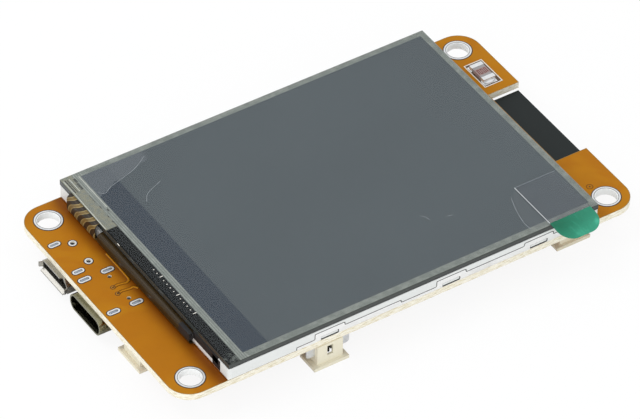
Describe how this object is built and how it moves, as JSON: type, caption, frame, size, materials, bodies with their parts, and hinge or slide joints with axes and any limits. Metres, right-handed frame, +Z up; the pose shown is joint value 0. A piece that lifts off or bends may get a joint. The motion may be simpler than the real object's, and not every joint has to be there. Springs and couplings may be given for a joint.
{
  "type": "tft display module",
  "caption": "Small colour TFT touch display on a long amber carrier board, with sockets and headers underneath and a green pull tab on its protective film.",
  "frame": {"origin": "centre of the four mounting holes, on the underside of the carrier board", "axes": "+Z up out of the display face; +X along the board to the antenna end, -X to the end with the USB sockets; -Y to the long side with the pull tab"},
  "size_m": [0.0869, 0.0541, 0.0092],
  "materials": {
    "orange_board": "glossy amber solder mask over glass-cloth laminate",
    "tinned_copper": "bright tinned copper",
    "foam_tape": "matte double-sided tape",
    "shell_steel": "satin stainless sheet",
    "white_frame": "matte white moulding",
    "white_film": "white light film",
    "clear_plastic": "clear acrylic",
    "strip_flex": "white printed flex",
    "lamp_yellow": "phosphor yellow",
    "black_tape": "black tape",
    "polariser_film": "smoky film",
    "cell_glass": "thin display glass",
    "silicon": "dark polished silicon",
    "display_flex": "dark olive flex",
    "touch_flex": "amber flex",
    "gasket_black": "black adhesive",
    "touch_glass": "clear glass",
    "touch_film": "clear film over the dark cell",
    "cover_film": "hazy protective film",
    "clear_tape": "clear tape",
    "green_tab": "translucent green film",
    "sensor_ceramic": "grey ceramic",
    "module_board": "black solder mask",
    "can_steel": "satin nickel silver can",
    "socket_steel": "bright tinned steel",
    "socket_plastic": "black glass-filled nylon",
    "gold_contact": "gold flash",
    "header_cream": "cream nylon",
    "card_plastic": "black nylon",
    "switch_black": "black moulding",
    "button_white": "light grey button",
    "lamp_clear": "white package with clear top",
    "chip_epoxy": "black epoxy package",
    "resistor_black": "glazed chip resistor",
    "capacitor_brown": "brown chip capacitor"
  },
  "bodies": {
    "display_board": {"main_board": "orange_board", "tinned_lands": "tinned_copper", "mounting_tape": "foam_tape", "lcd_back_shell": "shell_steel", "lcd_frame": "white_frame", "reflector_sheet": "white_film", "light_guide": "clear_plastic", "diffuser_sheet": "white_film", "lower_prism_sheet": "clear_plastic", "upper_prism_sheet": "clear_plastic", "backlight_strip": "strip_flex", "backlight_lamps": "lamp_yellow", "light_block_tape": "black_tape", "rear_polariser": "polariser_film", "tft_glass": "cell_glass", "colour_filter_glass": "cell_glass", "front_polariser": "polariser_film", "driver_chip": "silicon", "display_flex": "display_flex", "touch_gasket": "gasket_black", "touch_glass": "touch_glass", "touch_film": "touch_film", "touch_tail": "touch_flex", "protective_film": "cover_film", "pull_tab_tape": "clear_tape", "pull_tab_grip": "green_tab", "light_sensor": "sensor_ceramic", "light_sensor_caps": "tinned_copper", "module_board": "module_board", "module_shield_can": "can_steel", "usb_c_shell": "socket_steel", "usb_c_tongue": "socket_plastic", "usb_c_contacts": "gold_contact", "micro_usb_shell": "socket_steel", "micro_usb_tongue": "socket_plastic", "micro_usb_contacts": "gold_contact", "power_header": "header_cream", "io_header": "header_cream", "sensor_header": "header_cream", "speaker_header": "header_cream", "header_contacts": "gold_contact", "header_nails": "tinned_copper", "card_slot_base": "card_plastic", "card_slot_cover": "socket_steel", "card_slot_contacts": "gold_contact", "boot_switch_base": "switch_black", "boot_switch_cover": "shell_steel", "reset_switch_base": "switch_black", "reset_switch_cover": "shell_steel", "switch_terminals": "tinned_copper", "rgb_lamp": "lamp_clear", "usb_serial_chip": "chip_epoxy", "regulator": "chip_epoxy", "touch_controller": "chip_epoxy", "audio_amplifier": "chip_epoxy", "chip_resistors": "resistor_black", "chip_capacitors": "capacitor_brown", "small_transistors": "chip_epoxy"},
    "boot_plunger": {"boot_button": "button_white"},
    "reset_plunger": {"reset_button": "button_white"}
  },
  "joints": [
    {"name": "boot_press", "type": "slide", "parent": "display_board", "child": "boot_plunger", "axis": [0, 0, 1], "range_m": [0, 0.00025], "stiffness_N_per_m": 150},
    {"name": "reset_press", "type": "slide", "parent": "display_board", "child": "reset_plunger", "axis": [0, 0, 1], "range_m": [0, 0.00025], "stiffness_N_per_m": 150}
  ]
}
